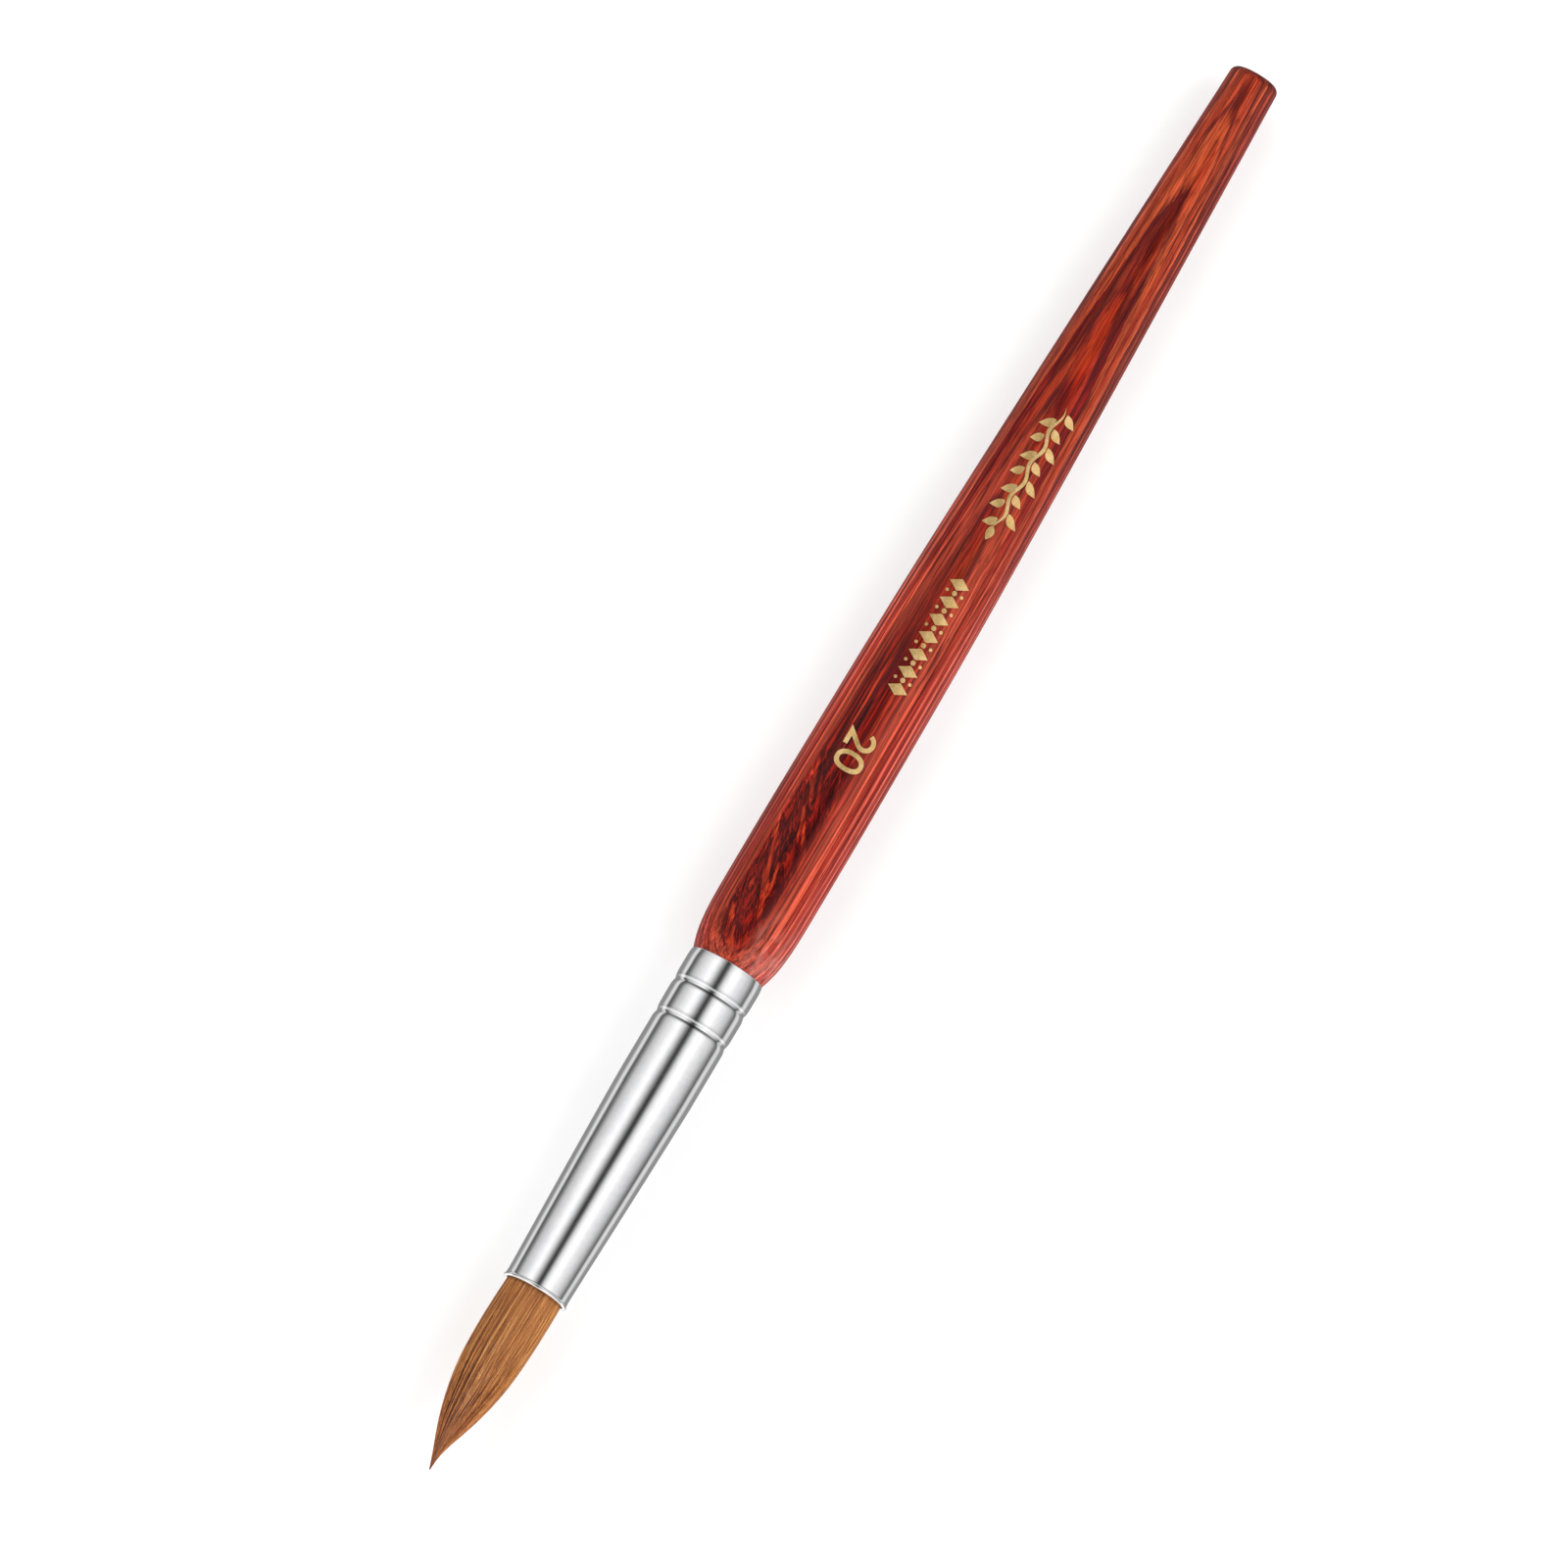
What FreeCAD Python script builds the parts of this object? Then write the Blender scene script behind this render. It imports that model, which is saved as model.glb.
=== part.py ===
import FreeCAD, Part
import math
import os

# Acrylic nail brush, size 20.
# Frame: origin at the centre of the butt face, on the brush's axis. +X runs along the axis
# towards the hair tip, +Z is the stamped side of the handle, +Y completes a right-handed frame.
# Millimetres.

V = FreeCAD.Vector

# ---------------------------------------------------------------- driving dimensions
L_TOTAL = 185.0            # butt face to hair tip
X_SHOULDER = 118.5         # handle shoulder, where the ferrule begins
X_TENON_END = 131.6        # end of the handle's tenon inside the ferrule
X_MOUTH = 161.6            # mouth of the ferrule

BUTT_FLAT_R = 2.10         # flat disc on the end of the handle
HANDLE = [                 # handle outline, distance from the butt and radius
    (0.9, 2.99), (3.4, 3.06), (6.1, 3.16), (11.7, 3.355), (22.9, 3.73), (34.1, 4.105), (45.2, 4.465),
    (56.4, 4.80), (67.6, 5.10), (78.8, 5.30), (90.0, 5.42), (101.1, 5.505), (107.7, 5.50),
    (111.6, 5.475), (113.5, 5.41), (115.3, 5.24), (116.7, 4.99), (117.7, 4.72), (X_SHOULDER, 4.46),
]

FERRULE_WALL = 0.28
FERRULE_R_REAR = 4.64      # outer radius at the rear edge
FERRULE_R_BODY = 4.56      # outer radius of the plain cylindrical stretch
X_BODY_0, X_BODY_1 = 127.9, 134.8
FERRULE_TAPER = [(X_BODY_1, FERRULE_R_BODY), (136.6, 4.525), (140.4, 4.435), (144.4, 4.34),
                 (148.4, 4.235), (152.4, 4.12), (156.4, 4.005), (160.5, 3.895)]
MOUTH_BEAD_R = 3.93        # rolled rim
MOUTH_INNER_R = 3.59
CRIMP_X = (122.5, 126.7)
CRIMP = [                  # one side of a crimp: distance from its centre and depth
    (1.0, 0.0), (0.66, 0.018), (0.40, 0.062), (0.20, 0.118), (0.09, 0.145), (0.0, 0.150),
]
GLUE_T = 0.10              # glue film between tenon and ferrule

X_RESIN_0, X_RESIN_1 = 141.5, 150.5
X_ROOT_0, X_ROOT_1 = 143.6, 160.5
ROOT_CLEAR = 0.06          # root to ferrule bore
ROOT_NECK_R = 3.15         # tied neck of the root, under the thread
THREAD_R = 0.17            # radius of the binding thread
THREAD_TURNS = 7
THREAD_X0 = 145.6

X_FLEX = 162.6             # centre the free tuft turns about when it is pressed sideways
TUFT_BASE_R = 3.50
TUFT_SOCKET_R = 3.56
TUFT = [                   # free tuft outline
    (X_FLEX, 3.50), (164.4, 3.53), (166.2, 3.55), (168.9, 3.50), (170.65, 3.42), (172.4, 3.27),
    (174.2, 3.00), (176.0, 2.65), (177.8, 2.20), (179.6, 1.66), (181.4, 1.03), (183.2, 0.42),
    (184.8, 0.12),
]

FOIL_T = 0.05              # gold stamping foil
FOIL_BOND = 0.01           # bond film under the foil, left open

# ---------------------------------------------------------------- helpers


def P(x, r):
    return V(x, 0, r)


def spline(points):
    c = Part.BSplineCurve()
    c.interpolate([P(x, r) for x, r in points])
    return c.toShape()


def line(a, b):
    return Part.LineSegment(P(*a), P(*b)).toShape()


def arc(a, m, b):
    return Part.Arc(P(*a), P(*m), P(*b)).toShape()


def turned(edges):
    """Solid of revolution about the X axis from a closed outline in the upper half plane."""
    face = Part.Face(Part.Wire(Part.__sortEdges__(edges)))
    s = face.revolve(V(0, 0, 0), V(1, 0, 0), 360)
    if s.ShapeType != "Solid":
        s = s.Solids[0] if s.Solids else Part.Solid(s.Shells[0])
    if s.Volume < 0:
        s.reverse()
    return s


def ferrule_rear_r(x):
    """Outer radius on the slightly conical stretch that carries the crimps."""
    t = (x - X_SHOULDER) / (X_BODY_0 - X_SHOULDER)
    return FERRULE_R_REAR + (FERRULE_R_BODY - FERRULE_R_REAR) * t


def crimped(inset, x0, x1):
    """Edges from x0 to X_BODY_0 and on to x1, inset below the ferrule's outside, with both crimps."""
    edges, at = [], (x0, ferrule_rear_r(x0) - inset)
    for c in CRIMP_X:
        half = [(c - u, ferrule_rear_r(c - u) - inset - d) for u, d in CRIMP]
        other = [(c + u, ferrule_rear_r(c + u) - inset - d) for u, d in reversed(CRIMP[:-1])]
        pts = half + other
        edges += [line(at, pts[0]), spline(pts)]
        at = pts[-1]
    end = (X_BODY_0, FERRULE_R_BODY - inset)
    edges.append(line(at, end))
    if x1 > X_BODY_0:
        edges.append(line(end, (x1, FERRULE_R_BODY - inset)))
    return edges


def bore_r(x):
    """Inner radius of the ferrule ahead of its plain stretch."""
    pts = FERRULE_TAPER
    for (xa, ra), (xb, rb) in zip(pts, pts[1:]):
        if x <= xb:
            return ra + (rb - ra) * (x - xa) / (xb - xa) - FERRULE_WALL
    return pts[-1][1] - FERRULE_WALL


# ---------------------------------------------------------------- handle
INSET_BORE = FERRULE_WALL
INSET_TENON = FERRULE_WALL + GLUE_T
tenon_r0 = ferrule_rear_r(X_SHOULDER) - INSET_TENON
tenon_r1 = FERRULE_R_BODY - INSET_TENON
TENON_CHAMFER = 0.6
handle_curve = spline(HANDLE)

handle = turned(
    [
        line((0, 0), (0, BUTT_FLAT_R)),
        arc((0, BUTT_FLAT_R), (0.2607, 2.7293), HANDLE[0]),
        handle_curve,
        line(HANDLE[-1], (X_SHOULDER, tenon_r0)),
    ]
    + crimped(INSET_TENON, X_SHOULDER, X_TENON_END - TENON_CHAMFER)
    + [
        line((X_TENON_END - TENON_CHAMFER, tenon_r1), (X_TENON_END, tenon_r1 - TENON_CHAMFER)),
        line((X_TENON_END, tenon_r1 - TENON_CHAMFER), (X_TENON_END, 0)),
        line((X_TENON_END, 0), (0, 0)),
    ]
)

# ---------------------------------------------------------------- ferrule
outer = crimped(0.0, X_SHOULDER + 0.12, X_BODY_1)
taper_outer = spline(FERRULE_TAPER)
taper_inner = spline([(x, r - FERRULE_WALL) for x, r in FERRULE_TAPER])
r_edge = ferrule_rear_r(X_SHOULDER + 0.12)
ferrule = turned(
    [arc((X_SHOULDER, r_edge - 0.12), (X_SHOULDER + 0.035, r_edge - 0.035), (X_SHOULDER + 0.12, r_edge))]
    + outer
    + [
        taper_outer,
        arc(FERRULE_TAPER[-1], (160.86, 3.915), (161.2, MOUTH_BEAD_R)),
        arc((161.2, MOUTH_BEAD_R), (X_MOUTH, 3.76), (161.3, MOUTH_INNER_R)),
        line((161.3, MOUTH_INNER_R), (160.5, FERRULE_TAPER[-1][1] - FERRULE_WALL)),
        taper_inner,
    ]
    + crimped(INSET_BORE, X_SHOULDER, X_BODY_1)
    + [line((X_SHOULDER, ferrule_rear_r(X_SHOULDER) - INSET_BORE), (X_SHOULDER, r_edge - 0.12))]
)

# ---------------------------------------------------------------- glue film on the tenon
GLUE_X1 = X_TENON_END - TENON_CHAMFER
tenon_glue = turned(
    crimped(INSET_BORE, X_SHOULDER, GLUE_X1)
    + [line((GLUE_X1, FERRULE_R_BODY - INSET_BORE), (GLUE_X1, FERRULE_R_BODY - INSET_TENON))]
    + crimped(INSET_TENON, X_SHOULDER, GLUE_X1)
    + [line((X_SHOULDER, ferrule_rear_r(X_SHOULDER) - INSET_TENON), (X_SHOULDER, ferrule_rear_r(X_SHOULDER) - INSET_BORE))]
)

# ---------------------------------------------------------------- bound root of the hair
thread_pitch = 2 * THREAD_R
thread_x1 = THREAD_X0 + thread_pitch * THREAD_TURNS
root_front_r = MOUTH_INNER_R - ROOT_CLEAR
socket_edge = math.sqrt(TUFT_SOCKET_R**2 - (X_FLEX - X_ROOT_1) ** 2)
hair_root = turned(
    [
        line((X_ROOT_0, 0), (X_ROOT_0, 3.55)),
        line((X_ROOT_0, 3.55), (X_ROOT_0 + 0.6, 3.72)),
        line((X_ROOT_0 + 0.6, 3.72), (THREAD_X0 - 0.5, 3.70)),
        line((THREAD_X0 - 0.5, 3.70), (THREAD_X0, ROOT_NECK_R)),
        line((THREAD_X0, ROOT_NECK_R), (thread_x1, ROOT_NECK_R)),
        line((thread_x1, ROOT_NECK_R), (thread_x1 + 0.9, 3.72)),
        spline([(thread_x1 + 0.9, 3.72), (152.4, bore_r(152.4) - ROOT_CLEAR), (156.4, bore_r(156.4) - ROOT_CLEAR - 0.02),
                (159.6, root_front_r - 0.02), (X_ROOT_1, root_front_r - 0.03)]),
        line((X_ROOT_1, root_front_r - 0.03), (X_ROOT_1, socket_edge)),
        arc((X_ROOT_1, socket_edge),
            (X_FLEX - TUFT_SOCKET_R * math.cos(0.45), TUFT_SOCKET_R * math.sin(0.45)),
            (X_FLEX - TUFT_SOCKET_R, 0)),
        line((X_FLEX - TUFT_SOCKET_R, 0), (X_ROOT_0, 0)),
    ]
)

# close-wound turns of thread as one ring with a scalloped outside
scallops = []
for i in range(THREAD_TURNS):
    a = THREAD_X0 + i * thread_pitch
    scallops.append(arc((a, ROOT_NECK_R + THREAD_R), (a + THREAD_R, ROOT_NECK_R + 2 * THREAD_R), (a + thread_pitch, ROOT_NECK_R + THREAD_R)))
binding_thread = turned(
    [line((THREAD_X0, ROOT_NECK_R), (THREAD_X0, ROOT_NECK_R + THREAD_R))]
    + scallops
    + [line((thread_x1, ROOT_NECK_R + THREAD_R), (thread_x1, ROOT_NECK_R)), line((thread_x1, ROOT_NECK_R), (THREAD_X0, ROOT_NECK_R))]
)

# resin poured behind and round the root
resin_profile = [(x, bore_r(x)) for x in (X_RESIN_0, 144.4, 148.4, X_RESIN_1)]
resin_block = turned(
    [line((X_RESIN_0, 0), resin_profile[0])]
    + [line(a, b) for a, b in zip(resin_profile, resin_profile[1:])]
    + [line(resin_profile[-1], (X_RESIN_1, 0)), line((X_RESIN_1, 0), (X_RESIN_0, 0))]
)
root_resin = resin_block.cut(hair_root).cut(binding_thread).cut(ferrule)
root_resin = max(root_resin.Solids, key=lambda s: s.Volume)

# ---------------------------------------------------------------- free tuft
hair_tuft = turned(
    [
        arc((X_FLEX - TUFT_BASE_R, 0), (X_FLEX - TUFT_BASE_R * math.cos(math.pi / 4), TUFT_BASE_R * math.sin(math.pi / 4)), (X_FLEX, TUFT_BASE_R)),
        spline(TUFT),
        line(TUFT[-1], (L_TOTAL, 0)),
        line((L_TOTAL, 0), (X_FLEX - TUFT_BASE_R, 0)),
    ]
)

# ---------------------------------------------------------------- stamped foil marks
# Each mark is a set of flat outlines in X and Y, pressed straight down onto the +Z side. Its
# inner face follows the handle's surface at FOIL_BOND, and the foil is FOIL_T thick.


def handle_r(x):
    c = handle_curve.Curve
    u0, u1 = c.FirstParameter, c.LastParameter
    for _ in range(60):
        u = 0.5 * (u0 + u1)
        if c.value(u).x < x:
            u0 = u
        else:
            u1 = u
    return c.value(0.5 * (u0 + u1)).z


def foil_skin(x0, x1):
    """Thin skin over the handle between x0 and x1."""
    n = 9
    xs = [x0 + (x1 - x0) * i / (n - 1) for i in range(n)]
    lo = [(x, handle_r(x) + FOIL_BOND) for x in xs]
    hi = [(x, handle_r(x) + FOIL_BOND + FOIL_T) for x in xs]
    return turned([spline(hi), line(hi[-1], lo[-1]), spline(lo), line(lo[0], hi[0])])


def polygon(points):
    pts = [V(x, y, 0) for x, y in points]
    return Part.Wire(Part.makePolygon(pts + [pts[0]]))


def ring_wire(points):
    """Smooth closed outline through the points."""
    c = Part.BSplineCurve()
    c.interpolate([V(x, y, 0) for x, y in points], PeriodicFlag=True)
    return Part.Wire([c.toShape()])


def leaf(x, y, length, width, angle, bend=0.10):
    """Pointed leaf starting at (x, y)."""
    ca, sa = math.cos(angle), math.sin(angle)

    def at(u, v):
        v += bend * length * math.sin(math.pi * u / length)
        return V(x + u * ca - v * sa, y + u * sa + v * ca, 0)

    us = [length * k / 6.0 for k in range(7)]
    up = [at(u, 0.5 * width * math.sin(math.pi * (u / length) ** 0.85)) for u in us]
    dn = [at(u, -0.5 * width * math.sin(math.pi * (u / length) ** 0.85)) for u in us]
    a, b = Part.BSplineCurve(), Part.BSplineCurve()
    a.interpolate(up)
    b.interpolate(dn)
    return Part.Wire([a.toShape(), b.toShape()])


def ribbon(f, x0, x1, half, n=13):
    """Band along y = f(x), tapered to points at both ends."""
    xs = [x0 + (x1 - x0) * i / (n - 1) for i in range(n)]

    def w(x):
        t = (x - x0) / (x1 - x0)
        return half * min(1.0, 6.0 * t, 6.0 * (1 - t)) if 0 < t < 1 else 0.0

    up = [V(x, f(x) + w(x), 0) for x in xs]
    dn = [V(x, f(x) - w(x), 0) for x in xs]
    a, b = Part.BSplineCurve(), Part.BSplineCurve()
    a.interpolate(up)
    b.interpolate(dn)
    return Part.Wire([a.toShape(), b.toShape()])


def stroke(points, half):
    """Outline of a stroke of constant width along a line, with mitred turns."""
    left, right = [], []
    n = len(points)
    for i, (x, y) in enumerate(points):
        ds = []
        if i > 0:
            ds.append((x - points[i - 1][0], y - points[i - 1][1]))
        if i < n - 1:
            ds.append((points[i + 1][0] - x, points[i + 1][1] - y))
        ns = []
        for dx, dy in ds:
            m = math.hypot(dx, dy)
            ns.append((-dy / m, dx / m))
        nx, ny = sum(a for a, _ in ns), sum(b for _, b in ns)
        m = math.hypot(nx, ny)
        nx, ny = nx / m, ny / m
        k = half / max(0.35, nx * ns[0][0] + ny * ns[0][1])
        left.append((x + nx * k, y + ny * k))
        right.append((x - nx * k, y - ny * k))
    return polygon(left + right[::-1])


def bead(x, y, r, n=20):
    return polygon([(x + r * math.cos(2 * math.pi * (i + 0.5) / n), y + r * math.sin(2 * math.pi * (i + 0.5) / n)) for i in range(n)])


def pressed(faces, x0, x1):
    skin = foil_skin(x0, x1)
    out = []
    for f in faces:
        prism = f.extrude(V(0, 0, 12))
        out += [s for s in prism.common(skin).Solids if s.Volume > 1e-4]
    return Part.makeCompound(out)


# leaf sprig: a waved stem with leaves set off it on both sides
S_X0, S_X1, S_Y = 44.4, 62.2, 0.55
WAVE = 4.4


def stem(x):
    return S_Y + 0.30 * math.sin(2 * math.pi * (x - S_X0) / WAVE)


sprig = [Part.Face(ribbon(stem, S_X0, S_X1 - 0.9, 0.22, 41))]
k = 0
x = S_X0 + 0.75
while x < S_X1 - 2.4:
    side = 1 if k % 2 == 0 else -1
    y = stem(x) + side * 0.36
    size = 1.85 + 0.18 * math.sin(k * 1.7)
    sprig.append(Part.Face(leaf(x, y, size, 0.98, side * 0.90, -side * 0.10)))
    x += WAVE / 4.0
    k += 1
sprig.append(Part.Face(leaf(S_X1 - 1.75, stem(S_X1 - 1.0) + 0.02, 1.85, 0.95, 0.0, 0.04)))
leaf_sprig_foil = pressed(sprig, S_X0 - 1.0, S_X1 + 1.0)

# bead row: lozenges with round beads between them
B_X0, B_X1, B_Y = 67.5, 82.9, 0.45
beads = []
N_LOZ = 7
pitch = (B_X1 - B_X0 - 1.5) / (N_LOZ - 1)
for i in range(N_LOZ):
    cx = B_X0 + 0.75 + i * pitch
    beads.append(Part.Face(polygon([(cx - 0.75, B_Y), (cx, B_Y - 1.25), (cx + 0.75, B_Y), (cx, B_Y + 1.25)])))
    if i < N_LOZ - 1:
        beads.append(Part.Face(bead(cx + pitch / 2, B_Y, 0.30)))
        for dy in (0.95, -0.95):
            beads.append(Part.Face(bead(cx + pitch / 2, B_Y + dy, 0.20)))
lozenge_row_foil = pressed(beads, B_X0 - 1.0, B_X1 + 1.0)

# size number
N_H, N_HALF = 3.5, 0.27            # height and half the stroke
N_X0, N_Y0 = 88.1, -1.85
top_r = 1.19 - N_HALF
cx, cy = N_X0 + 1.19, N_Y0 + N_H - N_HALF - top_r
two = []
for i in range(17):
    a = math.radians(165 - i * (165 + 38) / 16.0)
    two.append((cx + top_r * math.cos(a), cy + top_r * math.sin(a)))
two += [(N_X0 + N_HALF + 0.38, N_Y0 + N_HALF), (N_X0 + 2.32, N_Y0 + N_HALF)]
zx, zy = N_X0 + 3.98, N_Y0 + N_H / 2


def oval(hx, hy, n=28, p=2.35):
    pts = []
    for i in range(n):
        a = 2 * math.pi * i / n
        c, s = math.cos(a), math.sin(a)
        pts.append((zx + hx * math.copysign(abs(c) ** (2 / p), c), zy + hy * math.copysign(abs(s) ** (2 / p), s)))
    return pts


nought = Part.Face(polygon(oval(1.24, N_H / 2, 48))).cut(Part.Face(polygon(oval(1.24 - 2 * N_HALF, N_H / 2 - 2 * N_HALF, 48)))).Faces[0]
size_mark_foil = pressed([Part.Face(stroke(two, N_HALF)), nought], N_X0 - 1.0, N_X0 + 6.2)

# ---------------------------------------------------------------- write
NODES = {
    "handle": handle,
    "ferrule": ferrule,
    "tenon_glue": tenon_glue,
    "hair_root": hair_root,
    "binding_thread": binding_thread,
    "root_resin": root_resin,
    "hair_tuft": hair_tuft,
    "leaf_sprig_foil": leaf_sprig_foil,
    "lozenge_row_foil": lozenge_row_foil,
    "size_mark_foil": size_mark_foil,
}

os.makedirs("parts", exist_ok=True)
for name, shape in NODES.items():
    shape.exportStep("parts/%s.step" % name)
    bb = shape.BoundBox
    print("%-18s solids %2d valid %s vol %9.3f  x %.3f..%.3f y %.3f..%.3f z %.3f..%.3f" % (
        name, len(shape.Solids), shape.isValid(), shape.Volume, bb.XMin, bb.XMax, bb.YMin, bb.YMax, bb.ZMin, bb.ZMax))
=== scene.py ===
import math
import random

import bmesh
import bpy
import numpy as np
from mathutils import Matrix, Vector


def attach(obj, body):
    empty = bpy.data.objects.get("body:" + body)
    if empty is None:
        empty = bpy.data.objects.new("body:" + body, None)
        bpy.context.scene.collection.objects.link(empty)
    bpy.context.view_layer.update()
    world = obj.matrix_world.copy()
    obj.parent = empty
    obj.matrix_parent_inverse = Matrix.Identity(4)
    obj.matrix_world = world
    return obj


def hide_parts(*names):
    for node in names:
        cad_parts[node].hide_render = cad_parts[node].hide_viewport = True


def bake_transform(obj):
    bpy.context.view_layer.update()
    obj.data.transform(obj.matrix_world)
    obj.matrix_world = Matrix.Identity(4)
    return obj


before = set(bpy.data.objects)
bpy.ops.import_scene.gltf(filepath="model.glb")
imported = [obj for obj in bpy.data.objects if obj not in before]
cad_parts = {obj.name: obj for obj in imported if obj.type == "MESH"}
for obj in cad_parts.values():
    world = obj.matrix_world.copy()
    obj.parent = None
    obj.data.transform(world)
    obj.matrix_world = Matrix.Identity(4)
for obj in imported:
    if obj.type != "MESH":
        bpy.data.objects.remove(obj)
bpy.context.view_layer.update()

FIXED, TUFT = "handle_body", "tuft_body"
MM = 0.001

# ------------------------------------------------------------------ outlines, in mm
HANDLE = [
    (0.9, 2.99), (3.4, 3.06), (6.1, 3.16), (11.7, 3.355), (22.9, 3.73), (34.1, 4.105), (45.2, 4.465),
    (56.4, 4.80), (67.6, 5.10), (78.8, 5.30), (90.0, 5.42), (101.1, 5.505), (107.7, 5.50),
    (111.6, 5.475), (113.5, 5.41), (115.3, 5.24), (116.7, 4.99), (117.7, 4.72), (118.5, 4.46),
]
X_SHOULDER, X_MOUTH = 118.5, 161.6
X_BODY = 127.9
R_REAR, R_BODY = 4.64, 4.56
WALL = 0.28
TAPER = [(134.8, 4.56), (136.6, 4.525), (140.4, 4.435), (144.4, 4.34),
         (148.4, 4.235), (152.4, 4.12), (156.4, 4.005), (160.5, 3.895)]
CRIMPS = (122.5, 126.7)
CRIMP = [(1.0, 0.0), (0.66, 0.018), (0.40, 0.062), (0.20, 0.118), (0.09, 0.145), (0.0, 0.150)]
TUFT_OUT = [
    (157.0, 3.40), (159.0, 3.42), (161.0, 3.44), (162.6, 3.50), (164.4, 3.53), (166.2, 3.545),
    (168.9, 3.49), (170.65, 3.41), (172.4, 3.26), (174.2, 2.99), (176.0, 2.63), (177.8, 2.18),
    (179.6, 1.63), (181.4, 1.00), (183.2, 0.42), (185.0, 0.04),
]


def cubic(points, xs):
    """Natural cubic through the points, read at xs."""
    x = np.array([p[0] for p in points], float)
    y = np.array([p[1] for p in points], float)
    n = len(x)
    h = np.diff(x)
    a = np.zeros((n, n))
    b = np.zeros(n)
    a[0, 0] = a[-1, -1] = 1.0
    for i in range(1, n - 1):
        a[i, i - 1], a[i, i], a[i, i + 1] = h[i - 1], 2 * (h[i - 1] + h[i]), h[i]
        b[i] = 6 * ((y[i + 1] - y[i]) / h[i] - (y[i] - y[i - 1]) / h[i - 1])
    m = np.linalg.solve(a, b)
    xs = np.clip(np.asarray(xs, float), x[0], x[-1])
    k = np.clip(np.searchsorted(x, xs) - 1, 0, n - 2)
    t0, t1 = xs - x[k], x[k + 1] - xs
    return (m[k] * t1**3 + m[k + 1] * t0**3) / (6 * h[k]) + (y[k] / h[k] - m[k] * h[k] / 6) * t1 + (y[k + 1] / h[k] - m[k + 1] * h[k] / 6) * t0


def rear_r(x):
    return R_REAR + (R_BODY - R_REAR) * (x - X_SHOULDER) / (X_BODY - X_SHOULDER)


def arc3(a, m, b, n):
    """Points on the circle arc from a through m to b, ends included."""
    (x1, y1), (x2, y2), (x3, y3) = a, m, b
    d = 2 * (x1 * (y2 - y3) + x2 * (y3 - y1) + x3 * (y1 - y2))
    cx = ((x1**2 + y1**2) * (y2 - y3) + (x2**2 + y2**2) * (y3 - y1) + (x3**2 + y3**2) * (y1 - y2)) / d
    cy = ((x1**2 + y1**2) * (x3 - x2) + (x2**2 + y2**2) * (x1 - x3) + (x3**2 + y3**2) * (x2 - x1)) / d
    r = math.hypot(x1 - cx, y1 - cy)
    t1, t2, t3 = (math.atan2(y - cy, x - cx) for x, y in (a, m, b))

    def span(t, base, sign):
        v = (t - base) * sign
        return v % (2 * math.pi)

    sign = 1 if span(t2, t1, 1) < span(t3, t1, 1) else -1
    total = span(t3, t1, sign)
    return [(cx + r * math.cos(t1 + sign * total * i / n), cy + r * math.sin(t1 + sign * total * i / n)) for i in range(n + 1)]


def crimped(inset, x0, x1, step=0.7):
    """Outline points over the two crimps, from x0 to x1, inset below the ferrule's outside."""
    dip = [(-u, d) for u, d in CRIMP] + [(u, d) for u, d in reversed(CRIMP[:-1])]
    us = np.concatenate([np.linspace(-1.0, -0.44, 8)[:-1], np.linspace(-0.44, 0.44, 25), np.linspace(0.44, 1.0, 8)[1:]])
    ds = np.maximum(cubic(dip, us), 0.0)
    pts = []
    at = x0
    for c in CRIMPS:
        a, b = c - 1.0, c + 1.0
        n = max(1, int(round((a - at) / step)))
        pts += [(at + (a - at) * i / n, rear_r(at + (a - at) * i / n) - inset) for i in range(n)]
        pts += [(c + float(u), rear_r(c + float(u)) - inset - float(d)) for u, d in zip(us, ds)][:-1]
        at = b
    n = max(1, int(round((X_BODY - at) / step)))
    pts += [(at + (X_BODY - at) * i / n, rear_r(at + (X_BODY - at) * i / n) - inset) for i in range(n)]
    n = max(1, int(round((x1 - X_BODY) / step)))
    pts += [(X_BODY + (x1 - X_BODY) * i / n, R_BODY - inset) for i in range(n + 1)]
    return pts


# ------------------------------------------------------------------ mesh helpers
def make_object(name, verts, faces, sharp=35.0):
    me = bpy.data.meshes.new(name)
    me.from_pydata([tuple(v) for v in verts], [], faces)
    me.update()
    bm = bmesh.new()
    bm.from_mesh(me)
    bmesh.ops.recalc_face_normals(bm, faces=bm.faces)
    bm.to_mesh(me)
    bm.free()
    me.polygons.foreach_set("use_smooth", [True] * len(me.polygons))
    if sharp:
        me.set_sharp_from_angle(angle=math.radians(sharp))
    me.update()
    ob = bpy.data.objects.new(name, me)
    bpy.context.scene.collection.objects.link(ob)
    return ob


def turned(name, outline, n=160, closed=False, sharp=35.0, shape=None):
    """Turns an outline in mm about the X axis. An open outline ends on the axis; a closed one makes a tube."""
    verts, faces, rings = [], [], []
    for x, r in outline:
        if r < 1e-6:
            rings.append([len(verts)])
            verts.append((x * MM, 0.0, 0.0))
            continue
        ring = []
        for j in range(n):
            t = 2 * math.pi * j / n
            rr = r if shape is None else shape(x, r, t)
            ring.append(len(verts))
            verts.append((x * MM, rr * math.cos(t) * MM, rr * math.sin(t) * MM))
        rings.append(ring)
    pairs = list(zip(rings, rings[1:]))
    if closed:
        pairs.append((rings[-1], rings[0]))
    for a, b in pairs:
        for j in range(n):
            k = (j + 1) % n
            if len(a) == 1 and len(b) == 1:
                continue
            if len(a) == 1:
                faces.append((a[0], b[k], b[j]))
            elif len(b) == 1:
                faces.append((a[j], a[k], b[0]))
            else:
                faces.append((a[j], a[k], b[k], b[j]))
    return make_object(name, verts, faces, sharp)


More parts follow.
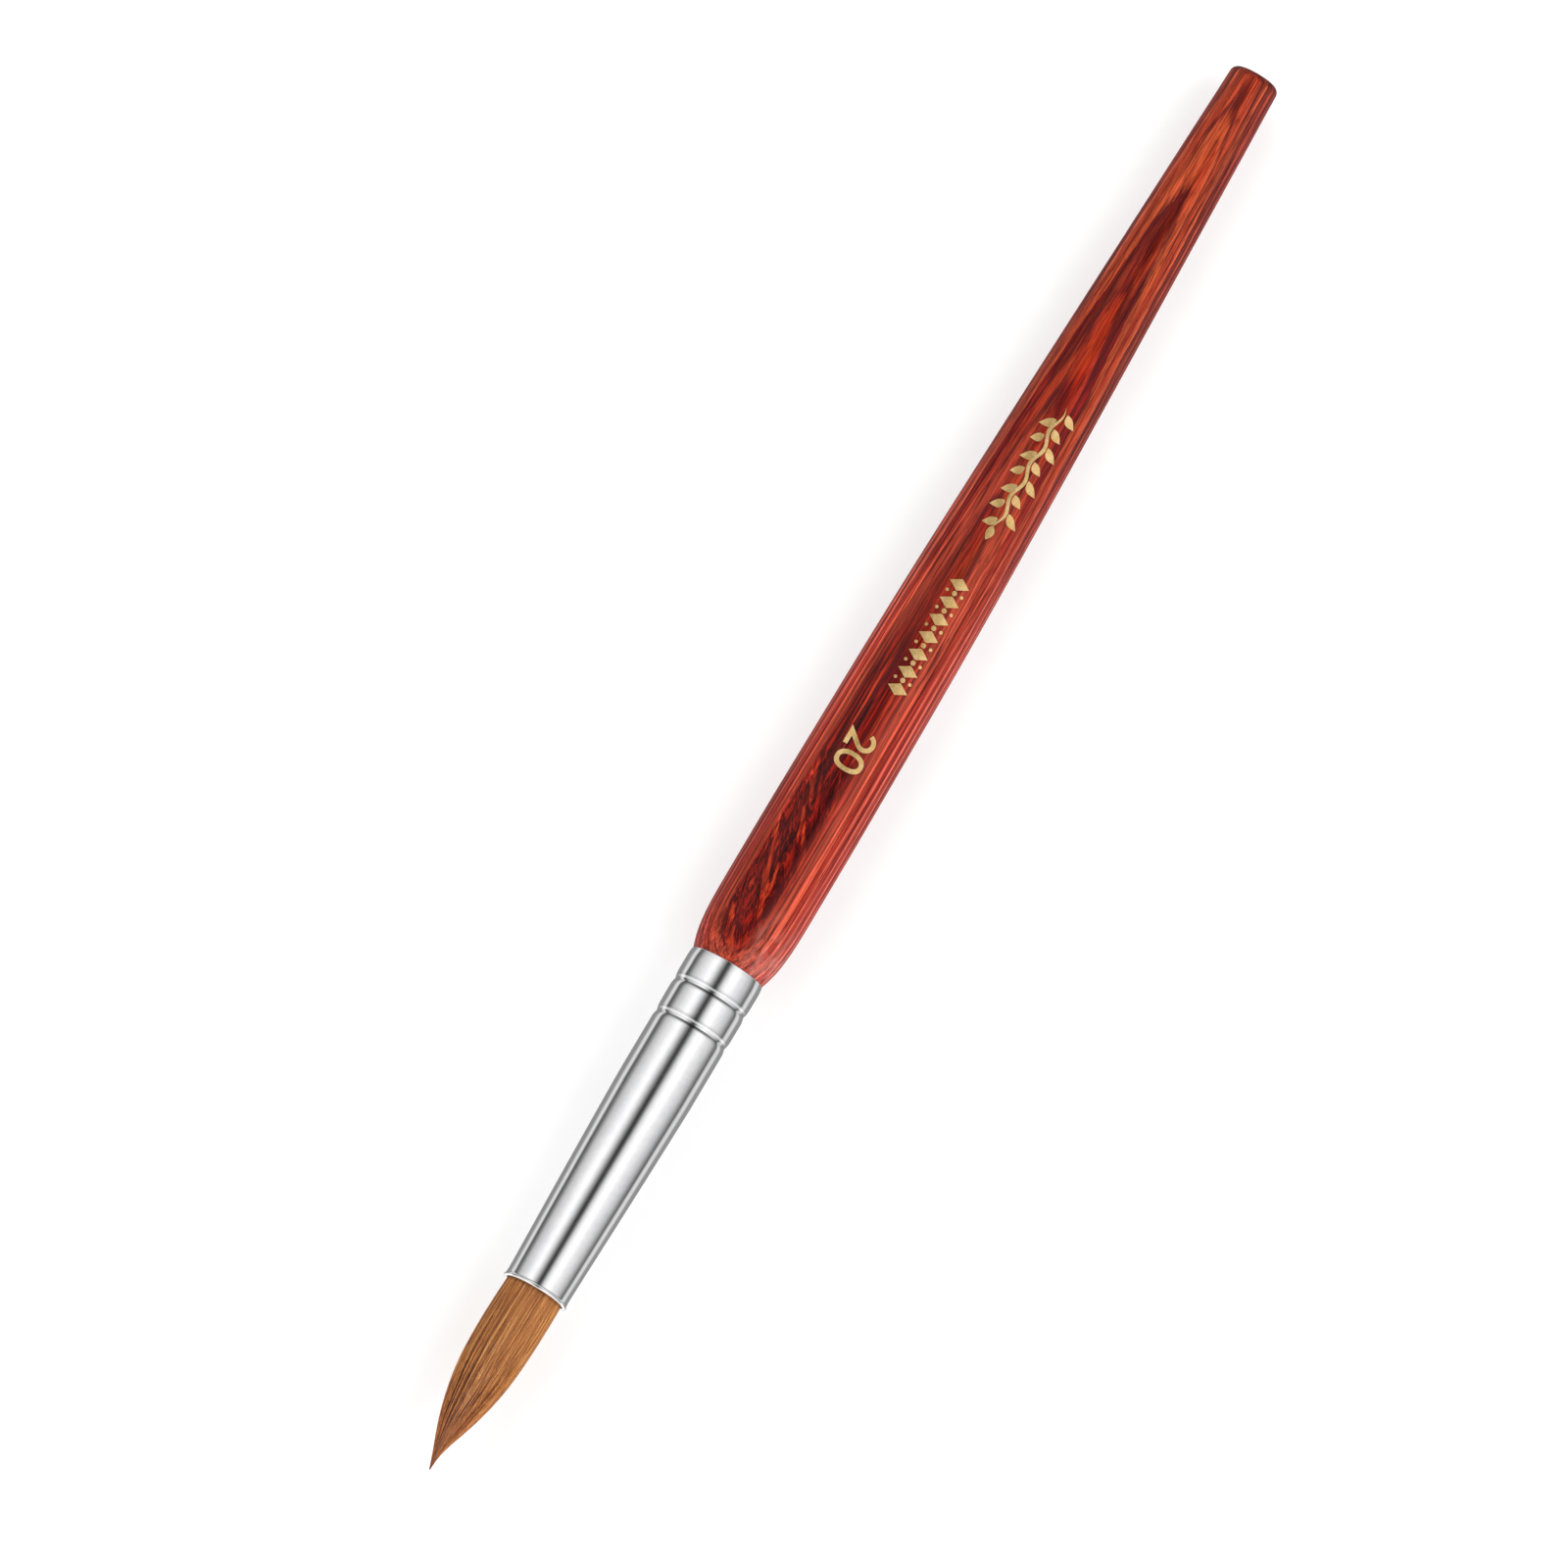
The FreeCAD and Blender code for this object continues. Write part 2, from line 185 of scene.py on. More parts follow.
# ------------------------------------------------------------------ node helpers
def srgb(r, g, b, a=1.0):
    def f(c):
        c = c / 255.0
        return c / 12.92 if c <= 0.04045 else ((c + 0.055) / 1.055) ** 2.4
    return (f(r), f(g), f(b), a)


class Nodes:
    def __init__(self, name):
        self.mat = bpy.data.materials.new(name)
        self.mat.use_nodes = True
        self.t = self.mat.node_tree
        self.t.nodes.clear()
        self.out = self.t.nodes.new("ShaderNodeOutputMaterial")
        self.bsdf = self.t.nodes.new("ShaderNodeBsdfPrincipled")
        self.t.links.new(self.bsdf.outputs[0], self.out.inputs[0])
        tc = self.t.nodes.new("ShaderNodeTexCoord")
        self.mm = self.vmath("MULTIPLY", tc.outputs["Object"], (1000.0, 1000.0, 1000.0))

    def node(self, kind, **props):
        n = self.t.nodes.new(kind)
        for k, v in props.items():
            setattr(n, k, v)
        return n

    def put(self, socket, value):
        if isinstance(value, bpy.types.NodeSocket):
            self.t.links.new(value, socket)
        else:
            socket.default_value = value

    def vmath(self, op, a, b=None):
        n = self.node("ShaderNodeVectorMath", operation=op)
        self.put(n.inputs[0], a)
        if b is not None:
            self.put(n.inputs[1], b)
        return n.outputs["Value"] if op in ("DOT_PRODUCT", "LENGTH") else n.outputs["Vector"]

    def math(self, op, a, b=None, c=None, clamp=False):
        n = self.node("ShaderNodeMath", operation=op, use_clamp=clamp)
        self.put(n.inputs[0], a)
        if b is not None:
            self.put(n.inputs[1], b)
        if c is not None:
            self.put(n.inputs[2], c)
        return n.outputs[0]

    def noise(self, scale_xyz, detail=3.0, rough=0.5, distortion=0.0, offset=(0, 0, 0), vector=None):
        v = self.vmath("MULTIPLY", self.mm if vector is None else vector, scale_xyz)
        v = self.vmath("ADD", v, offset)
        n = self.node("ShaderNodeTexNoise", noise_dimensions="3D")
        self.put(n.inputs["Vector"], v)
        n.inputs["Scale"].default_value = 1.0
        n.inputs["Detail"].default_value = detail
        n.inputs["Roughness"].default_value = rough
        n.inputs["Distortion"].default_value = distortion
        return n.outputs["Fac"]

    def remap(self, value, lo, hi, to_lo, to_hi, smooth=False):
        n = self.node("ShaderNodeMapRange", clamp=True)
        if smooth:
            n.interpolation_type = "SMOOTHSTEP"
        self.put(n.inputs["Value"], value)
        self.put(n.inputs["From Min"], lo)
        self.put(n.inputs["From Max"], hi)
        self.put(n.inputs["To Min"], to_lo)
        self.put(n.inputs["To Max"], to_hi)
        return n.outputs[0]

    def ramp(self, fac, stops, mode="LINEAR"):
        n = self.node("ShaderNodeValToRGB")
        cr = n.color_ramp
        cr.interpolation = mode
        while len(cr.elements) < len(stops):
            cr.elements.new(0.5)
        for i, (p, c) in enumerate(sorted(stops, key=lambda s: s[0])):
            cr.elements[i].position = p
            cr.elements[i].color = c
        self.put(n.inputs[0], fac)
        return n.outputs[0]

    def mix(self, fac, a, b, blend="MIX"):
        n = self.node("ShaderNodeMix", data_type="RGBA", blend_type=blend)
        n.clamp_result = False
        self.put(n.inputs["Factor"], fac)
        self.put(n.inputs["A"] if False else n.inputs[6], a)
        self.put(n.inputs[7], b)
        return n.outputs[2]

    def bump(self, height, strength, distance, normal=None):
        n = self.node("ShaderNodeBump")
        n.inputs["Strength"].default_value = strength
        n.inputs["Distance"].default_value = distance
        self.put(n.inputs["Height"], height)
        if normal is not None:
            self.put(n.inputs["Normal"], normal)
        return n.outputs[0]

    def axes(self):
        n = self.node("ShaderNodeSeparateXYZ")
        self.put(n.inputs[0], self.mm)
        return n.outputs[0], n.outputs[1], n.outputs[2]


# ------------------------------------------------------------------ materials
PLY = 0.45        # veneer thickness
TILT = math.radians(9.0)


def wood():
    m = Nodes("laminated_wood")
    X, Y, Z = m.axes()
    # veneer frame: along the handle, across the veneer, and depth through the stack
    across = m.vmath("DOT_PRODUCT", m.mm, (0.0, math.cos(TILT), math.sin(TILT)))
    depth0 = m.math("ADD", m.vmath("DOT_PRODUCT", m.mm, (0.0, -math.sin(TILT), math.cos(TILT))), 0.13)
    fr = m.node("ShaderNodeCombineXYZ")
    m.put(fr.inputs[0], X)
    m.put(fr.inputs[1], across)
    m.put(fr.inputs[2], depth0)
    F = fr.outputs[0]

    def n(scale, detail=3.0, rough=0.5, dist=0.0, off=(0, 0, 0)):
        return m.noise(scale, detail, rough, dist, off, F)

    def centred(v, k):
        return m.math("MULTIPLY", m.math("SUBTRACT", v, 0.5), k)

    # the veneers wander a little, and their cut edges are fibrous
    depth = m.math("ADD", depth0, centred(n((0.020, 0.12, 0.10), 2.0, 0.5, 0.0, (3.1, 0.4, 7.7)), 0.42))
    depth = m.math("ADD", depth, centred(n((0.07, 0.9, 0.5), 3.0, 0.6, 0.0, (11.0, 5.0, 2.0)), 0.30))
    depth = m.math("ADD", depth, centred(n((0.12, 4.5, 2.5), 3.0, 0.65, 0.0, (1.0, 5.0, 9.0)), 0.18))

    butt = {12: (106, 16, 12), 11: (116, 24, 15), 10: (128, 36, 21), 9: (150, 36, 18), 8: (98, 14, 13), 7: (172, 70, 38),
            6: (162, 58, 33), 5: (178, 78, 50), 4: (116, 44, 36), 3: (158, 64, 48), 2: (112, 40, 34), 1: (162, 70, 56), 0: (120, 44, 38)}
    belly = {12: (112, 20, 13), 11: (156, 50, 34), 10: (170, 66, 46), 9: (188, 74, 52), 8: (158, 46, 34), 7: (200, 84, 64),
             6: (142, 40, 34), 5: (206, 96, 78), 4: (160, 52, 44), 3: (202, 96, 82), 2: (142, 46, 40), 1: (198, 92, 76), 0: (150, 54, 46)}
    odd = [(172, 76, 58), (126, 36, 30), (184, 86, 66), (146, 46, 36), (114, 30, 25), (178, 78, 58)]

    def plies(top):
        stops = []
        for k in range(-13, 13):
            c = top[k] if k in top else odd[k % len(odd)]
            stops.append(((k * PLY + 5.85) / 11.7, srgb(*c)))
        return stops

    pos = m.remap(depth, -5.85, 5.85, 0.0, 1.0)
    col_a = m.ramp(pos, plies(butt), "CONSTANT")
    col_b = m.ramp(pos, plies(belly), "CONSTANT")
    along = m.remap(X, 40.0, 74.0, 0.0, 1.0, smooth=True)
    col = m.mix(along, col_a, col_b)

    # painted highlight: the flank towards +Y is painted lighter and paler, standing in for the lacquer's broad sheen on
    # that side
    pale = m.math("MULTIPLY", m.remap(across, 1.0, 4.2, 0.0, 0.42, smooth=True), m.remap(X, 56.0, 86.0, 0.15, 1.0, smooth=True))
    col = m.mix(pale, col, m.mix(1.0, col, (1.60, 1.62, 1.75, 1), "MULTIPLY"))
    # dye that took unevenly: orange and crimson drifts
    drift = n((0.030, 0.7, 1.6), 3.0, 0.55, 0.4, (9.0, 3.0, 4.0))
    col = m.mix(m.remap(drift, 0.48, 0.70, 0.0, 0.36), col, srgb(182, 74, 32))
    drift2 = n((0.025, 0.6, 2.2), 3.0, 0.55, 0.3, (2.0, 8.0, 1.0))
    col = m.mix(m.remap(drift2, 0.52, 0.72, 0.0, 0.45), col, srgb(150, 14, 18))

    # long fibres: blotchy on the flat of a veneer, fine and close on its edge
    f1 = n((0.045, 2.2, 3.8), 4.0, 0.64, 0.1, (2, 3, 5))
    f2 = n((0.10, 6.5, 6.5), 3.0, 0.64, 0.0, (8, 1, 6))
    f3 = n((0.022, 1.1, 3.4), 3.0, 0.55, 0.3, (4, 4, 1))
    light = m.math("ADD", m.remap(f1, 0.32, 0.68, 0.50, 1.36), m.remap(f2, 0.30, 0.70, -0.44, 0.44))
    light = m.math("MULTIPLY", light, m.remap(f3, 0.30, 0.70, 0.68, 1.28))
    grey = m.node("ShaderNodeCombineColor")
    for i in range(3):
        m.put(grey.inputs[i], light)
    col = m.mix(1.0, col, grey.outputs[0], "MULTIPLY")

    # dark drawn-out lines of the grain
    g1 = n((0.028, 2.6, 3.6), 3.0, 0.6, 0.2, (5, 5, 8))
    g2 = n((0.06, 5.0, 5.5), 2.0, 0.6, 0.0, (3, 9, 9))
    dark = m.math("MAXIMUM", m.remap(g1, 0.53, 0.63, 0.0, 0.84, smooth=True), m.remap(g2, 0.55, 0.65, 0.0, 0.70, smooth=True))
    # growth lines: thin, close and wavering, drawn out along the handle
    rings = m.math("FRACT", m.math("MULTIPLY", n((0.011, 0.62, 0.75), 2.0, 0.45, 0.10, (7, 1, 4)), 15.0))
    rings = m.math("ABSOLUTE", m.math("SUBTRACT", rings, 0.5))
    vein = m.math("MULTIPLY", m.remap(rings, 0.0, 0.17, 1.0, 0.0, smooth=True), m.remap(g2, 0.36, 0.58, 0.25, 0.95))
    dark = m.math("MAXIMUM", dark, m.math("MULTIPLY", vein, 0.85))
    col = m.mix(dark, col, m.mix(1.0, col, (0.40, 0.24, 0.27, 1), "MULTIPLY"))

    # dark heart figure in the top veneers near the belly
    # its strokes run aslant across the veneer
    slant = m.node("ShaderNodeCombineXYZ")
    m.put(slant.inputs[0], m.math("ADD", m.math("MULTIPLY", X, 0.075), m.math("MULTIPLY", across, 0.08)))
    m.put(slant.inputs[1], m.math("SUBTRACT", m.math("MULTIPLY", across, 0.62), m.math("MULTIPLY", X, 0.235)))
    m.put(slant.inputs[2], m.math("MULTIPLY", depth0, 0.6))
    heart = m.noise((1.0, 1.0, 1.0), 6.0, 0.64, 0.8, (6, 2, 9), slant.outputs[0])
    straight = n((0.035, 1.3, 1.3), 5.0, 0.62, 0.25, (3, 8, 2))
    turn = m.remap(X, 88.0, 98.0, 0.0, 1.0, smooth=True)
    heart = m.math("ADD", m.math("MULTIPLY", heart, turn), m.math("MULTIPLY", straight, m.math("SUBTRACT", 1.0, turn)))
    heart_at = m.vmath("DOT_PRODUCT", m.mm, (0.0, -math.sin(math.radians(15.0)), math.cos(math.radians(15.0))))
    heart_at = m.math("ADD", heart_at, m.math("SUBTRACT", depth, depth0))
    heart_mask = m.math("MULTIPLY", m.remap(heart_at, 4.72, 5.08, 0.0, 1.0, smooth=True), m.remap(X, 60.0, 88.0, 0.40, 1.0, smooth=True))
    heart_col = m.ramp(m.remap(heart, 0.30, 0.70, 0.0, 1.0), [
        (0.0, srgb(34, 5, 7)), (0.30, srgb(50, 7, 8)), (0.42, srgb(150, 28, 13)), (0.50, srgb(88, 13, 10)), (0.60, srgb(38, 5, 7)), (0.70, srgb(134, 26, 14)), (0.82, srgb(184, 60, 30)), (1.0, srgb(96, 22, 14))])
    hearted = m.mix(1.0, heart_col, grey.outputs[0], "MULTIPLY")
    col = m.mix(m.math("MULTIPLY", heart_mask, 0.94), col, hearted)

    # glue lines between the veneers
    edge = m.math("FRACT", m.math("ADD", m.math("DIVIDE", depth, PLY), 20.0))
    edge = m.math("SUBTRACT", 0.5, m.math("ABSOLUTE", m.math("SUBTRACT", edge, 0.5)))
    line = m.remap(edge, 0.04, 0.20, 1.0, 0.0, smooth=True)
    line = m.math("MULTIPLY", line, m.remap(n((0.05, 0.9, 0.9), 2.0, 0.5, 0.0, (7, 7, 3)), 0.35, 0.62, 0.20, 0.90))
    col = m.mix(line, col, srgb(70, 12, 16))

    # open pores, drawn out along the grain
    pore = n((0.55, 8.0, 14.0), 2.0, 0.5, 0.0, (5, 8, 2))
    pores = m.remap(pore, 0.64, 0.71, 0.0, 1.0)
    col = m.mix(m.math("MULTIPLY", pores, 0.70), col, srgb(48, 6, 8))

    # painted sheen: a pale pinkish patch on the shoulder, towards +Y, stands in for the lacquer's highlight on that
    # curve
    shoulder_sheen = m.math("MULTIPLY", m.remap(X, 109.5, 115.5, 0.0, 1.0, smooth=True), m.remap(across, 0.9, 3.2, 0.0, 1.0, smooth=True))
    shoulder_sheen = m.math("MULTIPLY", shoulder_sheen, m.remap(n((0.30, 1.1, 1.1), 3.0, 0.6, 0.4, (8, 8, 1)), 0.40, 0.62, 0.05, 0.46))
    col = m.mix(shoulder_sheen, col, srgb(206, 132, 120))

    # end grain and the scorched corner of the butt
    col = m.mix(m.remap(X, 0.15, 1.1, 0.72, 0.0, smooth=True), col, srgb(52, 10, 12))

    m.put(m.bsdf.inputs["Base Color"], col)
    m.put(m.bsdf.inputs["Roughness"], m.remap(f1, 0.2, 0.8, 0.38, 0.54))
    m.bsdf.inputs["Coat Weight"].default_value = 0.14
    m.bsdf.inputs["Coat Roughness"].default_value = 0.12
    m.bsdf.inputs["Coat IOR"].default_value = 1.40
    m.bsdf.inputs["Specular IOR Level"].default_value = 0.08
    wavy = m.noise((0.30, 0.9, 0.9), 3.0, 0.5, 0.0, (1, 1, 1))
    h = m.math("ADD", m.math("MULTIPLY", wavy, 0.4), m.math("ADD", m.math("MULTIPLY", pores, -0.35), m.math("MULTIPLY", f2, 0.25)))
    m.put(m.bsdf.inputs["Normal"], m.bump(h, 0.35, 0.00006))
    return m.mat


def nickel():
    m = Nodes("nickel_plate")
    X, Y, Z = m.axes()
    draw = m.noise((0.10, 16.0, 16.0), 3.0, 0.6, 0.0, (1, 4, 2))
    spots = m.noise((1.3, 1.3, 1.3), 4.0, 0.6, 0.0, (9, 2, 1))
    haze = m.noise((0.06, 0.5, 0.5), 3.0, 0.5, 0.0, (3, 3, 8))
    m.put(m.bsdf.inputs["Base Color"], m.ramp(m.math("ADD", m.math("MULTIPLY", spots, 0.5), m.math("MULTIPLY", haze, 0.5)), [
        (0.30, srgb(232, 232, 234)), (0.55, srgb(242, 242, 243)), (0.75, srgb(250, 250, 250))]))
    m.bsdf.inputs["Metallic"].default_value = 1.0
    m.put(m.bsdf.inputs["Roughness"], m.math("ADD", m.remap(haze, 0.3, 0.7, 0.10, 0.14), m.remap(spots, 0.6, 0.8, 0.0, 0.05)))
    m.put(m.bsdf.inputs["Normal"], m.bump(draw, 0.12, 0.00001))
    return m.mat


def hair(name, dark=0.0):
    m = Nodes(name)
    X, Y, Z = m.axes()
    at = m.node("ShaderNodeAttribute", attribute_name="tone")
    tone = at.outputs["Fac"]
    lock = m.noise((0.05, 1.5, 1.5), 2.0, 0.5, 0.3, (2, 6, 1))
    fine = m.noise((0.09, 9.0, 9.0), 2.0, 0.5, 0.0, (2, 2, 2))
    mid = m.noise((0.16, 4.4, 4.4), 2.0, 0.6, 0.0, (4, 7, 3))
    v = m.math("ADD", m.math("MULTIPLY", tone, 0.40), m.math("ADD", m.math("MULTIPLY", lock, 0.10), m.math("ADD", m.math("MULTIPLY", mid, 0.36), m.math("MULTIPLY", fine, 0.14))))
    col = m.ramp(v, [
        (0.27, srgb(76, 36, 12)), (0.38, srgb(132, 74, 30)), (0.49, srgb(176, 110, 52)), (0.60, srgb(208, 144, 78)), (0.70, srgb(242, 190, 128))])
    tipward = m.remap(X, 170.0, 182.0, 0.0, 1.0, smooth=True)
    col = m.mix(m.math("MULTIPLY", tipward, 0.55), col, m.mix(1.0, col, (1.0, 0.74, 0.86, 1), "MULTIPLY"))
    # painted shade: the core is darkened so that the depths of the tuft, seen between the hairs, look shaded
    if dark:
        col = m.mix(dark, col, srgb(60, 30, 14))
    m.put(m.bsdf.inputs["Base Color"], col)
    m.put(m.bsdf.inputs["Roughness"], m.remap(fine, 0.2, 0.8, 0.34, 0.48))
    m.bsdf.inputs["Specular IOR Level"].default_value = 0.45
    m.bsdf.inputs["Sheen Weight"].default_value = 0.15
    m.put(m.bsdf.inputs["Normal"], m.bump(fine, 0.3, 0.00003))
    return m.mat


def gold():
    m = Nodes("gold_foil")
    grain = m.noise((5.0, 5.0, 5.0), 3.0, 0.6, 0.0, (1, 2, 3))
    worn = m.noise((0.7, 1.1, 1.1), 4.0, 0.6, 0.0, (6, 2, 3))
    m.put(m.bsdf.inputs["Base Color"], m.ramp(m.math("ADD", m.math("MULTIPLY", grain, 0.5), m.math("MULTIPLY", worn, 0.5)), [
        (0.32, srgb(196, 156, 92)), (0.50, srgb(222, 184, 120)), (0.68, srgb(240, 212, 158))]))
    m.bsdf.inputs["Metallic"].default_value = 0.75
    m.put(m.bsdf.inputs["Roughness"], m.remap(grain, 0.3, 0.7, 0.30, 0.46))
    m.put(m.bsdf.inputs["Normal"], m.bump(grain, 0.35, 0.00002))
    return m.mat


def resin(name, a, b, rough, scale):
    m = Nodes(name)
    n = m.noise((scale, scale, scale), 3.0, 0.5, 0.0, (1, 5, 2))
    m.put(m.bsdf.inputs["Base Color"], m.ramp(n, [(0.35, srgb(*a)), (0.65, srgb(*b))]))
    m.put(m.bsdf.inputs["Roughness"], m.remap(n, 0.3, 0.7, rough, rough + 0.15))
    m.put(m.bsdf.inputs["Normal"], m.bump(n, 0.3, 0.00005))
    return m.mat


def assign(ob, mat):
    ob.data.materials.clear() if not ob.data.materials else None
    if ob.data.materials:
        for i in range(len(ob.data.materials)):
            ob.data.materials[i] = mat
    else:
        ob.data.materials.append(mat)
    for s in ob.material_slots:
        s.material = mat


M_WOOD, M_NICKEL, M_GOLD = wood(), nickel(), gold()
# the core's hair is darkened by 0.35 as painted shade for the depths of the tuft
M_HAIR, M_CORE_SHADED = hair("sable_hair"), hair("sable_hair_core_shaded", 0.35)
M_GLUE = resin("cured_glue", (206, 190, 150), (222, 210, 176), 0.35, 1.2)
M_RESIN = resin("set_resin", (178, 132, 70), (206, 164, 96), 0.15, 0.9)
M_THREAD = resin("waxed_thread", (214, 206, 184), (232, 226, 208), 0.6, 6.0)

# ------------------------------------------------------------------ handle
xs = np.concatenate([np.linspace(0.9, 5.7, 11)[:-1], np.linspace(5.7, 110.0, 160)[:-1], np.linspace(110.0, X_SHOULDER, 31)])
rs = cubic(HANDLE, xs)
outline = [(0.0, 0.0), (0.0, 0.9), (0.0, 1.6)]
outline += arc3((0.0, 2.10), (0.2607, 2.7293), (0.9, 2.99), 10)[:-1]
outline += list(zip(xs.tolist(), rs.tolist()))
outline += crimped(WALL + 0.10, X_SHOULDER, 131.0, 1.2)
outline += [(131.6, R_BODY - WALL - 0.10 - 0.6), (131.6, 0.0)]
handle = turned("handle_turned", outline, 176, sharp=40)
assign(handle, M_WOOD)
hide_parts("handle")
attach(handle, FIXED)

# ------------------------------------------------------------------ ferrule
tx = np.linspace(TAPER[0][0], TAPER[-1][0], 40)
t_out = cubic(TAPER, tx)
x0, r0 = X_SHOULDER + 0.12, rear_r(X_SHOULDER + 0.12)
# the rear edge is drawn in a little where the tube was rolled down on the wood
lip = [(x0 + 1.2 * i / 8, rear_r(x0 + 1.2 * i / 8) - 0.09 * (1 - i / 8) ** 2) for i in range(8)]
outline = arc3((X_SHOULDER, r0 - 0.21), (X_SHOULDER + 0.03, r0 - 0.125), (x0, r0 - 0.09), 6)[:-1]
outline += lip
outline += crimped(0.0, x0 + 1.2, TAPER[0][0], 0.7)[:-1]
outline += list(zip(tx.tolist(), t_out.tolist()))[:-1]
outline += arc3((160.5, 3.895), (160.86, 3.915), (161.2, 3.93), 4)[:-1]
outline += arc3((161.2, 3.93), (161.6, 3.76), (161.3, 3.59), 12)
outline += [(x, r - WALL) for x, r in reversed(list(zip(tx.tolist(), t_out.tolist())))][:-1]
outline += list(reversed(crimped(WALL, X_SHOULDER, TAPER[0][0], 1.2)))
ferrule = turned("ferrule_drawn", outline, 192, closed=True, sharp=50)
assign(ferrule, M_NICKEL)
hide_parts("ferrule")
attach(ferrule, FIXED)

# ------------------------------------------------------------------ hair
rng = np.random.default_rng(20)
px = np.linspace(157.0, 185.0, 400)
pr = np.maximum(cubic(TUFT_OUT, px), 0.02)


def tuft_r(x):
    return np.interp(x, px, pr)


LOCKS = np.random.default_rng(3)
N_LOCKS = 64
LOCK_AT = (np.arange(N_LOCKS) + LOCKS.uniform(-0.35, 0.35, N_LOCKS)) * 2 * math.pi / N_LOCKS
LOCK_END = LOCKS.uniform(176.5, 184.6, N_LOCKS)
LOCK_TONE = LOCKS.normal(0, 0.10, N_LOCKS)
STREAK_AT = np.linspace(0, 2 * math.pi, 111)
STREAK = LOCKS.normal(0, 0.15, 111)
STREAK[-1] = STREAK[0]


BOW_X = np.linspace(157.0, 185.0, 120)
BOW_Y = cubic([(157.0, 0.0), (161.0, -0.02), (165.0, -0.11), (172.0, -0.24), (176.0, -0.29), (180.0, -0.33), (182.0, -0.29),
               (183.5, -0.18), (184.4, -0.04), (185.0, 0.06)], BOW_X)


def bow(x):
    """The tuft leans a touch to -Y and its point curls back to +Y."""
    return np.interp(x, BOW_X, BOW_Y)


def strands(name, count, depth_lo, depth_hi, seed, thick=0.048, segs=15, lift=0.0):
    """Separate tapered hairs that run from inside the ferrule to their own points on the tuft's surface."""
    rng = np.random.default_rng(seed)
    belly = 168.0
    bx = np.linspace(belly, 185.0, 300)
    br = tuft_r(bx) / tuft_r(belly)
    verts, faces, tone = [], [], []
    for i in range(count):
        th = 2 * math.pi * ((i * 0.61803398875) % 1.0) + rng.normal(0, 0.02)
        f = depth_lo + (depth_hi - depth_lo) * math.sqrt(rng.uniform(0, 1))
        u = rng.uniform(0.0, 1.0)
        x_end = float(np.interp(-u, -br, bx)) if i % 6 else 184.98 - abs(rng.normal(0, 0.35))
        x_end = min(184.95, max(169.5, x_end + rng.normal(0, 0.35)))
        x_start = 157.6 + rng.uniform(0, 0.5)
        gaps = (LOCK_AT - th + math.pi) % (2 * math.pi) - math.pi
        near = int(np.argmin(np.abs(gaps)))
        off = gaps[near]
        pull = off * rng.uniform(0.45, 0.95)
        wob_a, wob_p, wob_k = rng.normal(0, 0.022), rng.uniform(0, 6.28), rng.uniform(0.18, 0.42)
        r_hair = thick * rng.uniform(0.75, 1.25)
        kick = lift * max(0.0, rng.normal(0, 1))
        t = np.linspace(0, 1, segs) ** 0.9
        x = x_start + (x_end - x_start) * t
        s = np.clip((x - 165.0) / (LOCK_END[near] - 165.0), 0, 1)
        ang = th + pull * s**1.4 + wob_a * np.sin(wob_k * x + wob_p)
        # each hair keeps its own depth under the surface; the edges of a lock lie deeper than its middle
        dip = 0.16 * (abs(off) / (math.pi / N_LOCKS)) ** 1.5 * np.clip((x - 166.0) / 9.0, 0, 1)
        rr = tuft_r(x) * f - r_hair * 0.9 * (1 - s * 0.5) - np.minimum(dip, tuft_r(x) * 0.22) + kick * t**6
        rr = np.maximum(rr, 0.0)
        cx, cy, cz = x, rr * np.cos(ang) + bow(x), rr * np.sin(ang)
        taper = np.clip((x_end - x) / 6.0, 0, 1) ** 0.7
        rad = np.maximum(r_hair * taper, 0.011)
        base = len(verts)
        streak = float(np.interp(th % (2 * math.pi), STREAK_AT, STREAK))
        # on top of the random tone, hairs at a lock's edges are darkened: painted shade in the crevices between locks
        tn = float(np.clip(rng.normal(0.50, 0.13) + streak + 0.7 * LOCK_TONE[near] - 0.08 * (abs(off) / (math.pi / N_LOCKS)) ** 2, 0, 1))
        for j in range(segs):
            er = np.array([0.0, math.cos(ang[j]), math.sin(ang[j])])
            et = np.array([0.0, -math.sin(ang[j]), math.cos(ang[j])])
            for q in range(3):
                a = 2 * math.pi * q / 3 + math.pi / 2
                p = np.array([cx[j], cy[j], cz[j]]) + rad[j] * (math.cos(a) * et + math.sin(a) * er)
                verts.append((p[0] * MM, p[1] * MM, p[2] * MM))
                tone.append(tn)
        for j in range(segs - 1):
            for q in range(3):
                a, b = base + 3 * j + q, base + 3 * j + (q + 1) % 3
                faces.append((a, b, b + 3, a + 3))
        faces.append((base + 2, base + 1, base))
        e = base + 3 * (segs - 1)
        faces.append((e, e + 1, e + 2))
    me = bpy.data.meshes.new(name)
    me.from_pydata(verts, [], faces)
    me.polygons.foreach_set("use_smooth", [True] * len(me.polygons))
    at = me.attributes.new("tone", "FLOAT", "POINT")
    at.data.foreach_set("value", tone)
    me.update()
    ob = bpy.data.objects.new(name, me)
    bpy.context.scene.collection.objects.link(ob)
    return ob


core_x = np.concatenate([np.linspace(157.0, 176.0, 60)[:-1], np.linspace(176.0, 184.4, 44)])
flutes = [(rng.integers(30, 110), rng.uniform(0, 6.28), rng.uniform(-0.05, 0.05)) for _ in range(14)]


def fluted(x, r, t):
    """Fine lengthwise ridges, so that the body under the top hairs is hair too."""
    s = sum(math.sin(int(k) * t + p + d * (x - 160.0)) for k, p, d in flutes) / 14.0
    return r * (1.0 + 0.030 * s)


